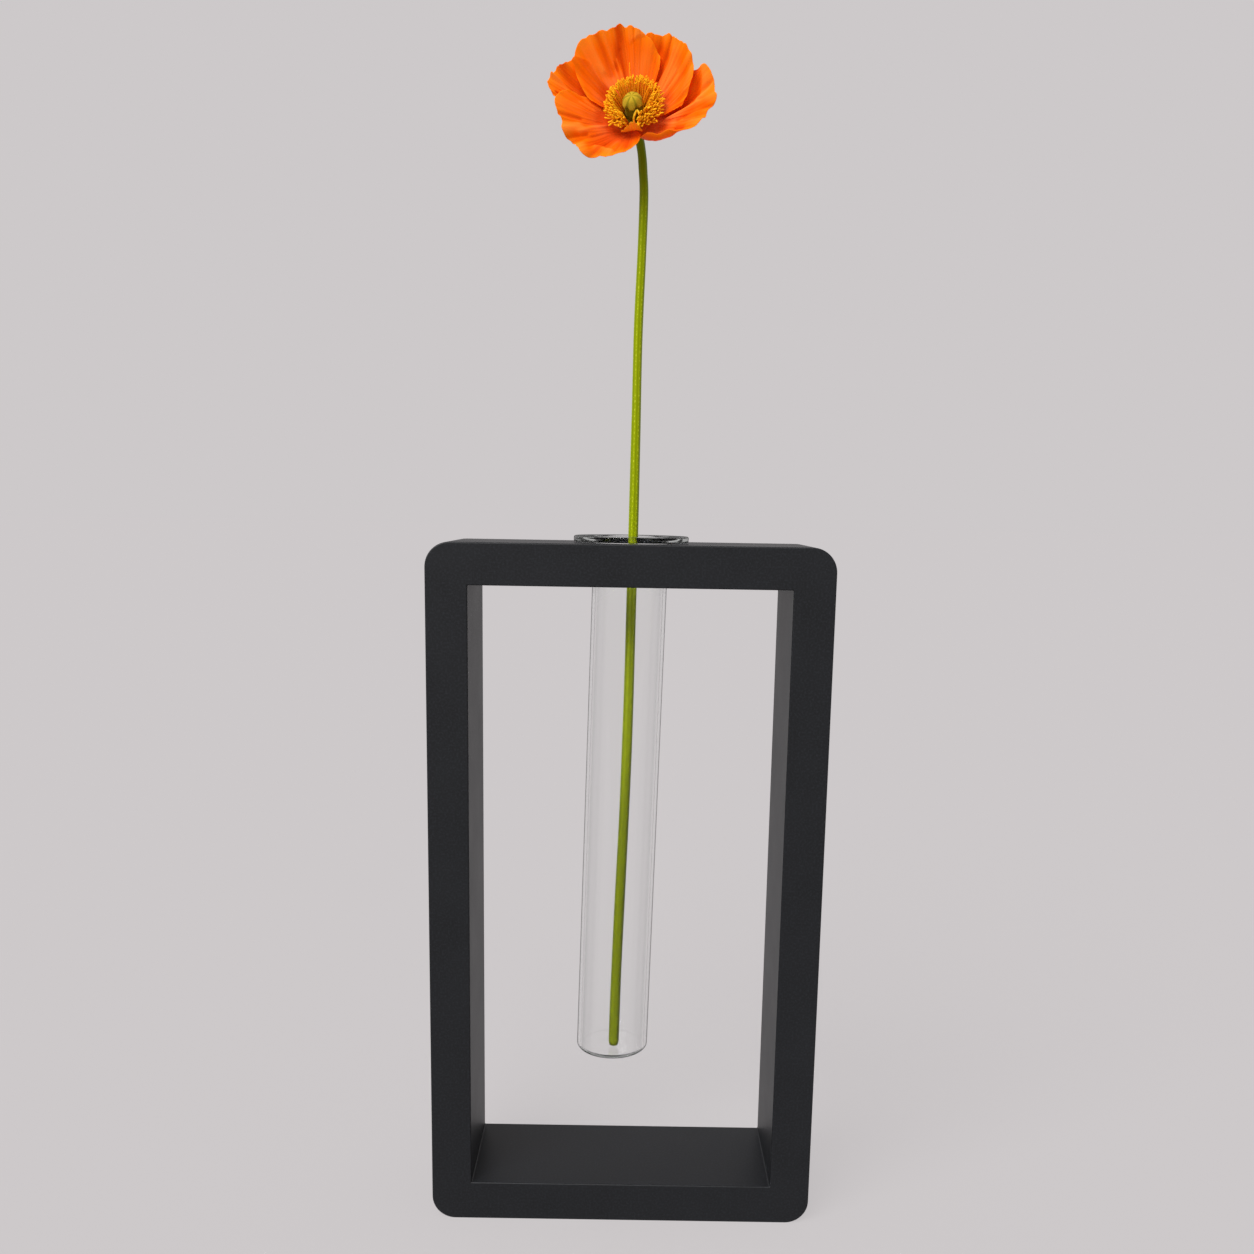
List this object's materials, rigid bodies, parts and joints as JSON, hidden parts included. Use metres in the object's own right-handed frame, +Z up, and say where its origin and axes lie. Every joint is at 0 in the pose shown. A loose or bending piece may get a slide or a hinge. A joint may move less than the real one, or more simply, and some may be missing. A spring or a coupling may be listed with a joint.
{
  "type": "poppy in vase",
  "caption": "Cut orange poppy on a slender bent stem, standing in a clear glass tube that hangs by its rim in the top board of a dark rectangular frame.",
  "frame": {"origin": "middle of the frame's flat underside, where it stands", "axes": "+Z up along the frame's height and the stem, X along the frame's width, -Y towards the side that the bloom faces"},
  "size_m": [0.154, 0.048, 0.4609],
  "materials": {
    "frame_paint": "matt dark grey paint over smooth wood",
    "clear_glass": "clear, thin-walled and glossy",
    "stem": "yellow-green plant skin, softly glossy",
    "petal": "thin orange petal with a silky sheen",
    "stamen": "golden yellow, powdery",
    "pistil": "olive green with a yellow velvety cap"
  },
  "bodies": {
    "root": {"board_top": "frame_paint", "board_right": "frame_paint", "board_bottom": "frame_paint", "board_left": "frame_paint", "glass_tube": "clear_glass", "stem": "stem", "petal_back": "petal", "petal_upper_right": "petal", "petal_right": "petal", "petal_left_behind": "petal", "petal_front_left": "petal", "petal_small_front": "petal", "stamens": "stamen", "pistil": "pistil"}
  },
  "joints": []
}
